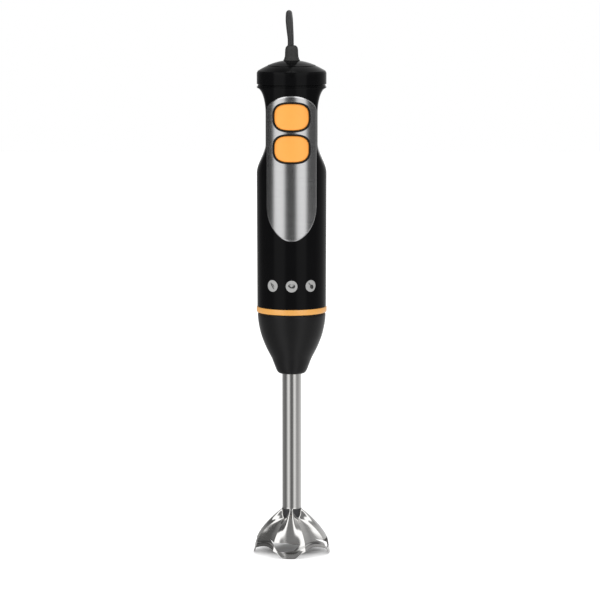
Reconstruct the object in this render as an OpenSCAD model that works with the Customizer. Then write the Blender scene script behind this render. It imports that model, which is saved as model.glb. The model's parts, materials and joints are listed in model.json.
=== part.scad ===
// Immersion blender: motor handle with a speed dial and two buttons, and a pull-off steel foot
// with a four-lobed blade bell. Millimetres, +Z up, standing on the bell at z = 0, front toward -Y.

/* [Handle] */
// Radius of the motor housing
body_r = 27.4; // [27:0.1:28]
// Height of the housing, from the accent ring to the dial
body_h = 174; // [170:1:180]
// Half-width of the pinched grip
grip_half_w = 20.35; // [19.5:0.05:21.5]
// Wall of the moulded shells
wall = 2.2; // [2:0.1:2.4]
// Height of the accent ring
accent_h = 4.4; // [3:0.1:6]

/* [Front panel and buttons] */
// Half-width of the steel panel
panel_half_w = 19.35; // [19:0.05:19.4]
// Height of the steel panel
panel_h = 113.2; // [110:0.1:115]
// Width of a button
button_w = 26.8; // [25:0.1:27.5]
// Height of a button
button_h = 20.5; // [19:0.1:21]
// Distance between the two buttons
button_pitch = 24.8; // [24.5:0.1:26]
// How far a button travels
press = 2.2; // [1.5:0.1:2.4]
// Radius of an icon disc
icon_r = 4.65; // [3:0.05:5.5]

/* [Head] */
// Radius of the fixed disc inside the speed dial
cap_r = 18.7; // [17.5:0.1:19.5]
// Height of the strain relief above the cap
relief_h = 12.2; // [11:0.1:16]

/* [Foot] */
// Height of the satin collar
collar_h = 48; // [46:0.5:52]
// Length of bare tube between bell and collar
tube_len = 107.8; // [90:0.1:130]
// Radius of the steel tube
tube_r = 7.5; // [7.4:0.05:8]
// Height of the bell
bell_h = 36; // [34:1:38]
// Radius of the bell at a foot
bell_r = 30.6; // [29:0.1:33]
// Thickness of the bell's steel
bell_wall = 1.0; // [0.8:0.1:1.4]
// Height of the arches between the feet
arch_h = 7.5; // [5:0.1:8]
// Turn of the lobes about the axis
lobe_turn = -4; // [-10:1:10]
// Length of a blade wing
blade_r = 17; // [14:0.5:19]

/* [Cord] */
// Diameter of the cord
cord_d = 4.6; // [4.4:0.1:4.6]

/* [Hidden] */

$fn = 96;
eps = 0.01;
far = 60;            // longer than any cut has to reach
gap = 0.3;           // room between parts that slide past each other
running = 0.05;      // radial clearance of a shaft in its bearing

// Levels along the axis
z_collar = bell_h + tube_len;
z_collar_top = z_collar + collar_h;
z_accent = z_collar_top + 1;
z_body = z_accent + accent_h;
z_deck = z_body + body_h;
z_cap = z_deck + 14.4;           // underside of the fixed disc
z_apex = z_deck + 19.4;          // top of the dome
z_exit = z_apex - 0.4 + relief_h;

// Housing
low_r = body_r - 0.3;
swell_z = z_body + 106.5;        // where the handle is widest, just under the grip
pinch_z = z_body + 105;          // start of the pinch
pinch_end = z_body + 128.5;      // the grip's straight sides start here
flare_z = z_body + 152.5;        // and end here
flare_h = 19.5;
flare_w = 7;
curve_n = 10;
deck_t = 2;
cord_hole_r = 8;                 // where the cord and its wires pass through the deck
groove_r = body_r - 0.7;

// Panel, buttons and icons
panel_z = z_body + 53.8;
panel_top_h = 12;
panel_bottom_h = 27;
panel_proud = 0.3;
panel_depth = 0.9;
gasket_w = 1.2;
button_z = [panel_z + 96.9 - button_pitch, panel_z + 96.9];
button_bow = 2.9;                // exponent of the rounded-barrel outline
button_proud = 0.9;
button_back = 18.6;
flange_t = 1.4;
flange_w = 1.2;
stem_r = 2.2;
icon_z = z_body + 18.5;
icon_step = 33.5;

// Control board
board_y = -6;
board_t = 1.6;
board_w = 32;
board_z = z_body + 112;
board_h = 50.5;
switch_h = 5;
board_post = [12, (button_z[0] + button_z[1]) / 2];

// Screws that join the shells: [x, z], mirrored to both sides
shell_screws = [[20.2, z_body + 23.9], [20.2, z_body + 103.5], [13, z_body + 168.4]];
boss_r = 4;
screw_r = 1.25;
head_r = 2.8;
seat_y = 8;
cap_screw_y = 13.8;

// Motor
z_bracket = z_body + 28.5;
z_stator = z_body + 48.5;
stator_h = 26;
stator_r = 23.5;
z_top_bracket = z_body + 92.5;
bracket_t = 3;
shaft_r = 2.5;
rotor_r = 12.9;
air_gap = 0.6;
slot_r = [14.6, 18.3];
coil_end = 5.5;
rotor_slots = 12;
comm_r = 8;
z_comm = z_stator + 32.5;
comm_h = 10;
brush = [8, 5, 6];
brush_z = z_comm + comm_h / 2;
holder_r = [9.5, 22.4];
bearing_r = 6;
motor_screw_r = 21;
fan_r = 17.5;

// Foot joint
socket_r = low_r - wall - 0.1;
spigot_r = 19.5;
spigot_wall = 3;
spigot_flange_r = body_r - 3.4;
z_spigot = z_accent + 18;
z_socket_top = z_body + 19.5;
z_snap = z_accent + 10;
snap_r = 0.7;
hex_r = 5;
z_coupling = z_accent + 8;

// Foot
drive_r = 3;
tube_wall = 0.8;
tube_top = z_collar_top - 6;
drive_top = z_accent + 5;

// Bell outline: one cubic curve from the shoulder to the side, then a slight flare to the rim
shoulder = [8.8, bell_h - 2];
pull_out = [20.8, bell_h - 11.6];
pull_down = [bell_r - 1.3, 13.5];
side = [bell_r - 1.3, 5.5];
bell_rows = 14;
bell_cols = 72;
lobe_half = 25;                  // degrees from a lobe's middle to its crease
foot_half = 11;                  // and to where its foot starts to round upward
valley_depth = 0.13;
window_z = [6.2, 11.8];
window_half_w = 10.8;
window_turn = -5;

// Cord: round numbers chosen by hand, relative to the exit, then to the floor
cord_r = cord_d / 2;
exit = [-0.8, 0, z_exit];
lead_from_exit = [
    [0, 0, 0], [0, 0, 4.6], [-0.6, 0.8, 9.6], [-1.2, 2.8, 14.4], [-1.6, 5.8, 18.6], [-1.6, 9.8, 21.8],
    [-1.5, 14.4, 23.8], [-1.3, 19.4, 24.4], [-1, 24.4, 23.8], [-0.8, 29, 21.8], [-0.5, 33, 18.6],
    [-0.3, 36, 14.4], [-0.1, 37.9, 9.6], [0.1, 38.5, 4.6], [0.3, 38.5, -10], [0.4, 38.5, -30],
    [0.5, 38.5, -60], [0.5, 38.5, -90], [0.6, 39, -120], [0.6, 39, -150],
    [0.7, 39, -180], [0.7, 39.5, -210], [0.8, 39.5, -240], [0.8, 40, -270], [0.8, 40, -300],
    [0.8, 40.5, -330], [0.8, 40.5, -355]
];
lead_to_floor = [[0, 40.5, 33], [0, 40.5, 21], [0, 41.5, 14.5], [0, 44.5, 9.8]];
tail_route = [
    [13.6, 52, 12.1], [12.2, 62, 12.2], [9, 72, 12.2], [5, 83, 12.1], [2, 94, 12], [0.5, 105, 11.5],
    [0, 114, 10.5], [0, 122, 9.5], [0, 129, 9]
];
fold_r = 3 * cord_d;
hank_y = 34;
hank_z = 0.6;
hank_len = [102, 80.6];
tie_y = 74;
tie_w = 6;
plug = [11, 26, 18];
plug_y = 140;
blade_pin = [6.3, 16.5, 1.5];
blade_gap = 12.7;

// ---------------------------------------------------------------- helpers

module sleeve(r_out, r_in, z0, z1, sides=96)
    rotate_extrude($fn=sides) translate([r_in, z0]) square([r_out - r_in, z1 - z0]);

module rod(r, z0, z1)
    translate([0, 0, z0]) cylinder(r=r, h=z1 - z0);

// A rod along Y from y0 to y1
module cross_rod(r, x, z, y0, y1)
    translate([x, y0, z]) rotate([-90, 0, 0]) cylinder(r=r, h=y1 - y0);

module sector(r_in, r_out, z0, z1, from, to)
    rotate([0, 0, from]) rotate_extrude(angle=to - from)
        translate([r_in, z0]) square([r_out - r_in, z1 - z0]);

module box(x0, x1, y0, y1, z0, z1)
    translate([x0, y0, z0]) cube([x1 - x0, y1 - y0, z1 - z0]);

// An outline in X and Z, pushed along Y from y0 to y1
module push(y0, y1)
    translate([0, y1, 0]) rotate([90, 0, 0]) linear_extrude(height=y1 - y0) children();

// A round tube along a list of points; across is a direction that the path never takes
module sweep(path, r, sides, across=[1, 0, 0]) {
    last = len(path) - 1;
    heading = [for (i = [0:last])
        let (d = path[min(i + 1, last)] - path[max(i - 1, 0)]) d / norm(d)];
    function side_of(i) = let (s = cross(across, heading[i])) s / norm(s);
    rings = [for (i = [0:last], k = [0:sides - 1])
        let (x = side_of(i), y = cross(heading[i], x), angle = 360 * k / sides)
            path[i] + r * (cos(angle) * x + sin(angle) * y)];
    walls = [for (i = [0:last - 1], k = [0:sides - 1], half = [0, 1])
        let (n = (k + 1) % sides, a = i * sides, b = (i + 1) * sides)
            half == 0 ? [a + k, b + k, b + n] : [a + k, b + n, a + n]];
    start_cap = [[for (k = [0:sides - 1]) k]];
    end_cap = [[for (k = [sides - 1:-1:0]) last * sides + k]];
    polyhedron(points=rings, faces=concat(walls, start_cap, end_cap), convexity=8);
}

// A compression spring of round wire, wound about +Z
module coil_spring(mean_r, wire_r, length, turns) {
    steps = 10;
    rise = length - 2 * wire_r;
    sweep([for (i = [0:turns * steps])
        [mean_r * cos(360 * i / steps), mean_r * sin(360 * i / steps), wire_r + rise * i / (turns * steps)]],
        wire_r, 6, [0, 0, 1]);
}

// ---------------------------------------------------------------- housing

// Half-width of the handle at height z, pinched for the fingers
function grip_w(z) =
    z < pinch_z ? body_r :
    z < pinch_end ? grip_half_w
        + (body_r - grip_half_w) * (1 + cos(180 * (z - pinch_z) / (pinch_end - pinch_z))) / 2 :
    z < flare_z ? grip_half_w :
    z < flare_z + flare_h ? grip_half_w + flare_w * (1 - sqrt(1 - pow((z - flare_z) / flare_h, 2))) :
    body_r;

side_levels = concat(
    [for (i = [0:curve_n]) pinch_z + (pinch_end - pinch_z) * i / curve_n],
    [for (i = [0:curve_n - 1]) flare_z + flare_h * sin(90 * i / curve_n)]
);

module side_outline(inset) {
    right = concat(
        [[body_r + 1, z_body - far], [body_r + 1, pinch_z - 1]],
        [for (z = side_levels) [grip_w(z) - inset, z]],
        [[body_r - inset, flare_z + flare_h], [body_r + 1, z_deck + far]]
    );
    left = [for (i = [len(right) - 1:-1:0]) [-right[i][0], right[i][1]]];
    polygon(concat(right, left));
}

module handle_form(inset, z0, z1)
    intersection() {
        rotate_extrude() polygon([
            [0, z0], [low_r - inset, z0], [body_r - inset, swell_z], [body_r - inset, z1], [0, z1]
        ]);
        push(-far, far) side_outline(inset);
    }

module button_outline(grow) {
    a = button_w / 2 + grow;
    b = button_h / 2 + grow;
    e = 2 / button_bow;
    polygon([for (t = [0:10:350])
        [a * sign(cos(t)) * pow(abs(cos(t)), e), b * sign(sin(t)) * pow(abs(sin(t)), e)]]);
}

module both_buttons(grow)
    for (z = button_z) translate([0, z]) button_outline(grow);

module panel_outline(grow) {
    w = panel_half_w + grow;
    top_z = panel_z + panel_h - panel_top_h;
    bottom_z = panel_z + panel_bottom_h;
    polygon(concat(
        [for (t = [0:9:180]) [w * cos(t), top_z + (panel_top_h + grow) * sin(t)]],
        [for (t = [180:9:360]) [w * cos(t), bottom_z + (panel_bottom_h + grow) * sin(t)]]
    ));
}

module shell()
    difference() {
        union() {
            difference() {
                handle_form(0, z_body, z_deck - 1);
                handle_form(wall, z_body - 1, z_deck - deck_t);
            }
            rod(groove_r, z_deck - deck_t, z_deck);
        }
        rod(cord_hole_r, z_deck - far, z_deck + far);
    }

module boss(p, y0, y1)
    for (s = [-1, 1]) cross_rod(boss_r, s * p[0], p[1], y0, y1);

module icon_places(r, y0, y1)
    for (i = [-1:1]) rotate([0, 0, i * icon_step]) cross_rod(r, 0, icon_z, y0, y1);

module front_housing() color([0.03, 0.03, 0.035])
    difference() {
        union() {
            intersection() {
                shell();
                box(-far, far, -far, 0, z_body - far, z_deck + far);
            }
            intersection() {
                handle_form(wall / 2, z_body, z_deck - deck_t);
                union() for (p = shell_screws) boss(p, -13, 0);
            }
        }
        for (p = shell_screws, s = [-1, 1]) cross_rod(screw_r + running, s * p[0], p[1], -11, eps);
        intersection() {
            push(-far, -1) panel_outline(0.05);
            sleeve(far, body_r - panel_depth, z_body, z_deck);
        }
        push(-far, -1) both_buttons(gap);
        icon_places(icon_r + 0.02, -far, -(low_r - 0.8));
        rod(socket_r + running, z_body - 1, z_socket_top);
        translate([0, -cap_screw_y, 0]) rod(screw_r + running, z_deck - deck_t - 1, z_deck + 1);
    }

// Two rows of vent slots around the back
module vents()
    for (z = [z_body + 33, z_body + 96], a = [-40:10:40])
        rotate([0, 0, a]) box(-1, 1, 10, far, z, z + 9);

module rear_housing() color([0.03, 0.03, 0.035])
    difference() {
        union() {
            intersection() {
                shell();
                box(-far, far, 0, far, z_body - far, z_deck + far);
            }
            intersection() {
                handle_form(wall / 2, z_body, z_deck - deck_t);
                union() {
                    for (p = shell_screws) boss(p, 0, far);
                    for (s = [-1, 1])
                        cross_rod(3, s * board_post[0], board_post[1], board_y + board_t, far);
                }
            }
        }
        for (p = shell_screws, s = [-1, 1]) {
            cross_rod(1.6, s * p[0], p[1], -eps, far);
            cross_rod(head_r + gap, s * p[0], p[1], seat_y, far);
        }
        for (s = [-1, 1])
            cross_rod(screw_r + running, s * board_post[0], board_post[1], board_y, 10);
        vents();
        rod(socket_r + running, z_body - 1, z_socket_top);
        translate([0, cap_screw_y, 0]) rod(screw_r + running, z_deck - deck_t - 1, z_deck + 1);
    }

module steel_panel() color([0.75, 0.76, 0.78])
    intersection() {
        difference() {
            push(-far, -1) panel_outline(0);
            push(-far, 0) both_buttons(gap + gasket_w);
        }
        sleeve(body_r + panel_proud, body_r - panel_depth, z_body, z_deck);
    }

module button_gasket() color([0.08, 0.08, 0.09])
    intersection() {
        difference() {
            push(-far, -1) both_buttons(gap + gasket_w - running);
            push(-far, 0) both_buttons(gap);
        }
        sleeve(body_r + panel_proud + 0.2, body_r - panel_depth, z_body, z_deck);
    }

module icon_discs() color([0.7, 0.7, 0.7])
    intersection() {
        icon_places(icon_r, -far, -(low_r - 0.8));
        sleeve(body_r, low_r - 0.8, icon_z - far, icon_z + far, 360);
    }

module accent_ring() color([0.9, 0.5, 0.2])
    sleeve(body_r, socket_r + running, z_accent, z_body);

// ---------------------------------------------------------------- head

function dome(r) = z_apex - 0.0115 * r * r;

module top_cap() color([0.08, 0.08, 0.09])
    difference() {
        rotate_extrude() polygon(concat(
            [[11, z_deck], [16.5, z_deck], [16.5, z_cap], [cap_r, z_cap]],
            [for (i = [0:6]) let (r = cap_r - (cap_r - 6) * i / 6) [r, dome(r)]],
            [[6, z_deck + 10], [11, z_deck + 10]]
        ));
        for (s = [-1, 1])
            translate([0, s * cap_screw_y, 0]) rod(screw_r + running, z_deck - 1, z_deck + 9);
    }

module strain_relief() color([0.18, 0.18, 0.18])
    difference() {
        rotate_extrude() polygon([
            [0, z_deck + 7], [7.5, z_deck + 7], [7.5, z_deck + 10], [5.95, z_deck + 10],
            [5.95, dome(6) + 0.1], [5.75, dome(6) + 0.2], [5.75, z_exit - 9.7], [5.35, z_exit - 8.7],
            [5.05, z_exit - 3.7], [4.6, z_exit - 1.6], [3.8, z_exit - 0.4], [3.4, z_exit], [0, z_exit]
        ]);
        translate([exit[0], 0, 0]) rod(cord_r, z_deck, z_exit + 1);
    }

module inner_cord() color([0.2, 0.2, 0.2])
    translate([exit[0], 0, 0]) rod(cord_r, z_deck - deck_t, z_exit);

module cord_clamp() color([0.5, 0.5, 0.52])
    difference() {
        box(-9, 9, -3.5, 3.5, z_deck + 1, z_deck + 6);
        translate([exit[0], 0, 0]) rod(cord_r, z_deck, z_deck + far);
    }

module screw(length, head_h) {
    cylinder(r=screw_r, h=length);
    difference() {
        translate([0, 0, -head_h]) cylinder(r=head_r, h=head_h);
        for (a = [0, 90]) rotate([0, 0, a]) translate([-1.8, -0.35, -head_h - 1]) cube([3.6, 0.7, 2]);
    }
}

module cap_screws() color([0.7, 0.7, 0.72])
    for (s = [-1, 1]) translate([0, s * cap_screw_y, z_deck - deck_t]) screw(10, 1.6);

module housing_screws() color([0.3, 0.3, 0.32])
    for (p = shell_screws, s = [-1, 1])
        translate([s * p[0], seat_y, p[1]]) rotate([90, 0, 0]) screw(18.5, 2);

// Ring that the thumb turns about the fixed cap
module speed_dial() color([0.04, 0.04, 0.045])
    difference() {
        rotate_extrude() polygon(concat(
            [[24.8, z_deck + 0.9], [body_r - 0.1, z_deck + 0.9], [body_r - 0.1, z_deck + 10]],
            [for (i = [0:6]) let (r = body_r - 0.9 - (body_r - 0.9 - cap_r - gap) * i / 6) [r, dome(r)]],
            [[cap_r + gap, z_cap - gap], [16.5 + running, z_cap - gap],
            [16.5 + running, z_cap - 3.3], [24.8, z_cap - 6]]
        ));
        translate([0, -body_r, z_deck + 6.6]) rotate([90, 0, 0]) pointer(0.4);
    }

// Shallow triangle that points at the chosen speed
module pointer(depth)
    translate([0, 0, -depth]) linear_extrude(height=far)
        polygon([[-1.6, 3], [1.6, 3], [0, 0.4]]);

module speed_track() color([0.1, 0.4, 0.2])
    sleeve(24, 16.5 + running, z_deck, z_deck + 1);

module dial_wiper() color([0.8, 0.65, 0.3])
    sector(19, 22.5, z_deck + 1 + gap, z_cap - 6, 80, 100);

// ---------------------------------------------------------------- buttons and electronics

module push_button(z) translate([0, 0, z]) {
    intersection() {
        push(-far, -button_back) button_outline(0);
        rod(body_r + button_proud, -far, far);
    }
    push(-button_back - flange_t, -button_back) button_outline(flange_w);
    cross_rod(stem_r, 0, 0, -button_back, board_y - switch_h - press - 0.15);
}

module turbo_button() color([1, 0.7, 0.33]) push_button(button_z[1]);
module power_button() color([1, 0.7, 0.33]) push_button(button_z[0]);

module button_spring(z)
    translate([0, board_y - running, z]) rotate([90, 0, 0])
        coil_spring(5.6, 0.4, button_back + board_y - 2 * running, 5);

module turbo_spring() color([0.7, 0.7, 0.72]) button_spring(button_z[1]);
module power_spring() color([0.7, 0.7, 0.72]) button_spring(button_z[0]);

module switch(z) {
    box(-3.2, 3.2, board_y - switch_h + 1, board_y, z - 3.2, z + 3.2);
    cross_rod(1.6, 0, z, board_y - switch_h, board_y - switch_h + 1);
}

module upper_switch() color([0.15, 0.15, 0.16]) switch(button_z[1]);
module lower_switch() color([0.15, 0.15, 0.16]) switch(button_z[0]);

module control_board() color([0.1, 0.4, 0.2])
    difference() {
        box(-board_w / 2, board_w / 2, board_y, board_y + board_t, board_z, board_z + board_h);
        for (s = [-1, 1])
            cross_rod(screw_r + running, s * board_post[0], board_post[1], -far, far);
    }

// Suppression capacitor, choke, triac and connector on the back of the board
module board_components() color([0.75, 0.7, 0.3]) {
    y = board_y + board_t;
    box(-6.5, 6.5, y, y + 9, board_z + 28, board_z + 46);
    cross_rod(6, 0, board_z + 16, y, y + 10);
    box(-14.5, -9, y, y + 4.5, board_z + 2, board_z + 16);
    box(9, 14.5, y, y + 6, board_z + 3, board_z + 13);
}

module board_screws() color([0.7, 0.7, 0.72])
    for (s = [-1, 1])
        translate([s * board_post[0], board_y, board_post[1]]) rotate([-90, 0, 0]) screw(12, 1.5);

// Supply leads from the cord to the board, and motor leads down to the brushes
module wiring() color([0.5, 0.15, 0.1])
    for (s = [-1, 1]) {
        sweep([[exit[0] + s * 1.1, 0, z_deck - deck_t - gap], [s * 1.2, 0, z_deck - 6],
            [s * 3, -0.4, z_deck - 10], [s * 5, board_y + 2.6, z_deck - 13]], 0.9, 8);
        sweep([[s * 8, board_y + 0.8, board_z - gap], [s * 9, -5.6, board_z - 6],
            [s * 11, -8, z_top_bracket + 4], [s * 13, -8.5, z_top_bracket - 2],
            [s * 15, -7.2, z_top_bracket - 6], [s * 16, -5.2, z_top_bracket - 8]], 0.9, 8);
    }

// ---------------------------------------------------------------- motor

module motor_stator() color([0.5, 0.5, 0.53])
    difference() {
        rod(stator_r, z_stator, z_stator + stator_h);
        rod(rotor_r + air_gap, z_stator - 1, z_stator + far);
        for (pole = [0, 180], s = [-1, 1])
            sector(slot_r[0], slot_r[1], z_stator - 1, z_stator + far,
                pole + s * 50 - 12.5, pole + s * 50 + 12.5);
        for (s = [-1, 1])
            translate([0, s * motor_screw_r, 0]) rod(screw_r + running, z_stator - 1, z_stator + far);
    }

// Each coil runs through two slots and closes over both ends of its pole
module field_coils() color([0.72, 0.38, 0.18])
    for (pole = [0, 180]) {
        for (s = [-1, 1])
            sector(slot_r[0] + 0.2, slot_r[1] - 0.2,
                z_stator - coil_end + 1, z_stator + stator_h + coil_end - 1,
                pole + s * 50 - 11.5, pole + s * 50 + 11.5);
        for (z = [z_stator - coil_end, z_stator + stator_h + gap])
            sector(slot_r[0], slot_r[1], z, z + coil_end - gap, pole - 62.5, pole + 62.5);
    }

// Spider plate with a bearing hub, and two posts that reach the stator
module bracket(z0, hub_z0, hub_z1, post_z0, post_z1)
    difference() {
        union() {
            intersection() {
                rod(low_r - wall - 0.2, z0, z0 + bracket_t);
                union() {
                    sleeve(far, 21.4, z0, z0 + bracket_t);
                    box(-far, far, -6, 6, z0, z0 + bracket_t);
                    box(-5, 5, -far, far, z0, z0 + bracket_t);
                }
            }
            rod(bearing_r + 2, hub_z0, hub_z1);
            for (s = [-1, 1]) translate([0, s * motor_screw_r, 0]) rod(2.4, post_z0, post_z1);
        }
        rod(bearing_r + running, hub_z0 - 1, hub_z1 + 1);
        for (s = [-1, 1])
            translate([0, s * motor_screw_r, 0]) rod(screw_r + running, post_z0 - 1, post_z1 + 1);
    }

module upper_motor_bracket() color([0.62, 0.63, 0.65])
    bracket(z_top_bracket, z_top_bracket, z_top_bracket + 9, z_stator + stator_h, z_top_bracket + bracket_t);

module lower_motor_bracket() color([0.62, 0.63, 0.65])
    bracket(z_bracket, z_bracket - 8, z_bracket + bracket_t, z_bracket, z_stator);

module motor_screws() color([0.7, 0.7, 0.72])
    for (s = [-1, 1])
        translate([0, s * motor_screw_r, z_bracket]) screw(z_top_bracket + bracket_t - z_bracket, 2);

module bearing(z0) sleeve(bearing_r, shaft_r + running, z0, z0 + 6);
module upper_bearing() color([0.8, 0.72, 0.5]) bearing(z_top_bracket + 2);
module lower_bearing() color([0.8, 0.72, 0.5]) bearing(z_bracket - 7);

module brush_holders() color([0.8, 0.65, 0.3])
    for (s = [0, 180]) rotate([0, 0, s])
        difference() {
            box(holder_r[0], holder_r[1], -4.2, 4.2, brush_z - 4.5, z_top_bracket);
            box(0, holder_r[1] - 1.4, -brush[1] / 2 - running, brush[1] / 2 + running,
                brush_z - brush[2] / 2 - running, brush_z + brush[2] / 2 + running);
        }

module carbon_brushes() color([0.15, 0.15, 0.15])
    for (s = [0, 180]) rotate([0, 0, s])
        box(comm_r + running, comm_r + brush[0], -brush[1] / 2, brush[1] / 2,
            brush_z - brush[2] / 2, brush_z + brush[2] / 2);

module brush_springs() color([0.7, 0.7, 0.72])
    for (s = [0, 180])
        rotate([0, 0, s]) translate([comm_r + brush[0] + running, 0, brush_z]) rotate([0, 90, 0])
            coil_spring(1.9, 0.3, holder_r[1] - 1.4 - comm_r - brush[0] - 2 * running, 3);

module motor_shaft() color([0.75, 0.75, 0.78])
    rod(shaft_r, z_coupling + 3, z_top_bracket + 10);

module armature_core() color([0.5, 0.5, 0.53])
    difference() {
        sleeve(rotor_r, shaft_r, z_stator, z_stator + stator_h);
        for (i = [0:rotor_slots - 1]) rotate([0, 0, i * 360 / rotor_slots])
            box(rotor_r - 5, far, -1.1, 1.1, z_stator - 1, z_stator + far);
    }

module armature_windings() color([0.72, 0.38, 0.18]) {
    for (i = [0:rotor_slots - 1]) rotate([0, 0, i * 360 / rotor_slots])
        box(rotor_r - 4.8, rotor_r - 0.8, -1, 1, z_stator - 1, z_stator + stator_h + 1);
    sleeve(rotor_r - 0.8, shaft_r + 1, z_stator - 5, z_stator - running);
    sleeve(rotor_r - 0.8, shaft_r + 1, z_stator + stator_h + running, z_stator + stator_h + 5.5);
}

module commutator() color([0.75, 0.45, 0.25])
    difference() {
        sleeve(comm_r, shaft_r, z_comm, z_comm + comm_h);
        for (i = [0:rotor_slots - 1]) rotate([0, 0, i * 360 / rotor_slots])
            box(comm_r - 0.8, far, -0.25, 0.25, z_comm - 1, z_comm + far);
    }

module cooling_fan() color([0.85, 0.85, 0.82]) {
    z = z_bracket + bracket_t + 1.5;
    sleeve(5, shaft_r, z, z + 7);
    sleeve(fan_r, 5, z, z + 1.2);
    for (i = [0:8]) rotate([0, 0, i * 40]) box(6.5, fan_r - 0.5, -0.6, 0.6, z + 1, z + 7);
}

// Hexagonal dog on the motor shaft
module drive_coupling() color([0.9, 0.9, 0.88])
    difference() {
        translate([0, 0, z_coupling]) cylinder(r=hex_r, h=11, $fn=6);
        rod(shaft_r, z_coupling + 3, z_coupling + far);
    }

// ---------------------------------------------------------------- foot joint

module socket_sleeve() color([0.25, 0.25, 0.27])
    difference() {
        union() {
            sleeve(socket_r, spigot_r + 0.1, z_accent, z_socket_top);
            sleeve(socket_r, 9, z_socket_top - 1.2, z_socket_top);
        }
        sleeve(spigot_r + 1.5, 5, z_snap - 0.9, z_snap + 0.9);
    }

// Split wire ring that clicks into the spigot's groove
module snap_spring() color([0.75, 0.75, 0.78])
    rotate([0, 0, 105]) rotate_extrude(angle=330)
        translate([spigot_r + 0.4, z_snap]) circle(r=snap_r, $fn=24);

module collar_spigot() color([0.2, 0.2, 0.22])
    difference() {
        union() {
            rod(spigot_r, z_collar_top - 1, z_spigot);
            rod(spigot_flange_r - running, z_collar_top - 4, z_collar_top);
            rod(10.5, z_collar_top - 18, z_collar_top - 2);
        }
        rod(spigot_r - spigot_wall, z_accent + 2, z_spigot + 1);
        rod(9.5, tube_top + 2, z_spigot);
        rod(tube_r + running, z_collar_top - 19, tube_top);
        rod(6, tube_top - 1, z_spigot);
        sleeve(spigot_r + 1, spigot_r - 0.8, z_snap - 0.9, z_snap + 0.9);
    }

// ---------------------------------------------------------------- foot

collar_taper = [
    [8, 0], [10.6, 0.6], [12, 2.6], [14, 7.6], [15.8, 12.2], [18.3, 17], [20.6, 21.7], [23.4, 28.8],
    [24.8, 33.6], [25.8, 38.3], [26.5, 43], [26.8, 47.8]
];

module foot_collar() color([0.1, 0.1, 0.1])
    difference() {
        rotate_extrude() polygon(concat(
            [[0, z_collar]],
            [for (p = collar_taper) [p[0], z_collar + p[1] * collar_h / 48]],
            [[26.8, z_collar_top], [0, z_collar_top]]
        ));
        rotate_extrude() polygon(concat(
            [[0, z_collar + 12]],
            [for (i = [5:len(collar_taper) - 2])
                [collar_taper[i][0] - 2.8, z_collar + collar_taper[i][1] * collar_h / 48]],
            [[spigot_flange_r, z_collar_top - 4], [spigot_flange_r, z_collar_top + 1], [0, z_collar_top + 1]]
        ));
        rod(tube_r + running, z_collar - 1, z_collar + far);
    }

module shaft_tube() color([0.75, 0.76, 0.78])
    sleeve(tube_r, tube_r - tube_wall, bell_h, tube_top);

module upper_bush() color([0.8, 0.72, 0.5])
    sleeve(tube_r - tube_wall - running, drive_r + running, tube_top - 12, tube_top - 3);

module bush_housing() color([0.3, 0.3, 0.32])
    sleeve(tube_r - tube_wall - running, 5, bell_h - 12, bell_h + 10);

module lower_bush() color([0.8, 0.72, 0.5])
    sleeve(5, drive_r + running, bell_h - 8, bell_h + 5);

module shaft_seal() color([0.1, 0.1, 0.1])
    sleeve(5, drive_r + running, bell_h - 11.5, bell_h - 8.5);

// Bell outline, t from 0 at the rim to 1 at the tube
function bezier(t) = pow(1 - t, 3) * side + 3 * t * pow(1 - t, 2) * pull_down
    + 3 * t * t * (1 - t) * pull_out + pow(t, 3) * shoulder;
function bell_point(t) =
    t < 0.15 ? let (u = t / 0.15) [bell_r + (side[0] - bell_r) * (2 * u - u * u), side[1] * u] :
    t < 0.93 ? bezier((t - 0.15) / 0.78) :
    let (u = (t - 0.93) / 0.07) [shoulder[0] + (tube_r - shoulder[0]) * (2 * u - u * u),
        shoulder[1] + (bell_h - shoulder[1]) * u];

// 0 within half degrees of a lobe's middle, rising to 1 halfway to the next lobe
function between_lobes(a, half) =
    let (m = abs(((a - lobe_turn + 45 + 360) % 90) - 45))
        m < half ? 0 : let (u = (m - half) / (45 - half)) 1 - pow(1 - u, 2);

function bell_vertex(a, t, inset) =
    let (valley = between_lobes(a, lobe_half), arch = arch_h * between_lobes(a, foot_half), p = bell_point(t),
        deep = valley_depth * valley * min(1, 2.2 * (1 - t)), r = p[0] * (1 - deep) - inset,
        z = p[1] * (1 - arch / bell_h) + arch * (1 - t))
        [r * sin(a), -r * cos(a), max(z, 0) - (t == 1 ? 0 : inset * t)];

module lobed_bell() {
    n = bell_cols;
    m = bell_rows;
    shells = [for (inset = [0, bell_wall], j = [0:m], i = [0:n - 1])
        bell_vertex(i * 360 / n + lobe_turn, j / m, min(inset, tube_wall + inset * (1 - j / m)))];
    inner = (m + 1) * n;
    function at(i, j) = j * n + (i % n);
    walls = [for (j = [0:m - 1], i = [0:n - 1], k = [0, 1])
        k == 0 ? [at(i, j), at(i, j + 1), at(i + 1, j)] : [at(i + 1, j), at(i, j + 1), at(i + 1, j + 1)]];
    lining = [for (f = walls) [f[0] + inner, f[2] + inner, f[1] + inner]];
    rim = [for (i = [0:n - 1], k = [0, 1])
        k == 0 ? [at(i, 0), at(i + 1, 0), inner + at(i, 0)] :
        [at(i + 1, 0), inner + at(i + 1, 0), inner + at(i, 0)]];
    neck = [for (i = [0:n - 1], k = [0, 1])
        k == 0 ? [at(i, m), inner + at(i, m), at(i + 1, m)] :
        [at(i + 1, m), inner + at(i, m), inner + at(i + 1, m)]];
    polyhedron(points=shells, faces=concat(walls, lining, rim, neck), convexity=6);
}

module window()
    push(-far, -20) translate([-window_half_w, window_z[0]])
        square([2 * window_half_w, window_z[1] - window_z[0]]);

module bell_guard() color([0.75, 0.76, 0.78])
    difference() {
        lobed_bell();
        for (i = [0:3]) rotate([0, 0, lobe_turn + window_turn + i * 90]) window();
    }

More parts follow.
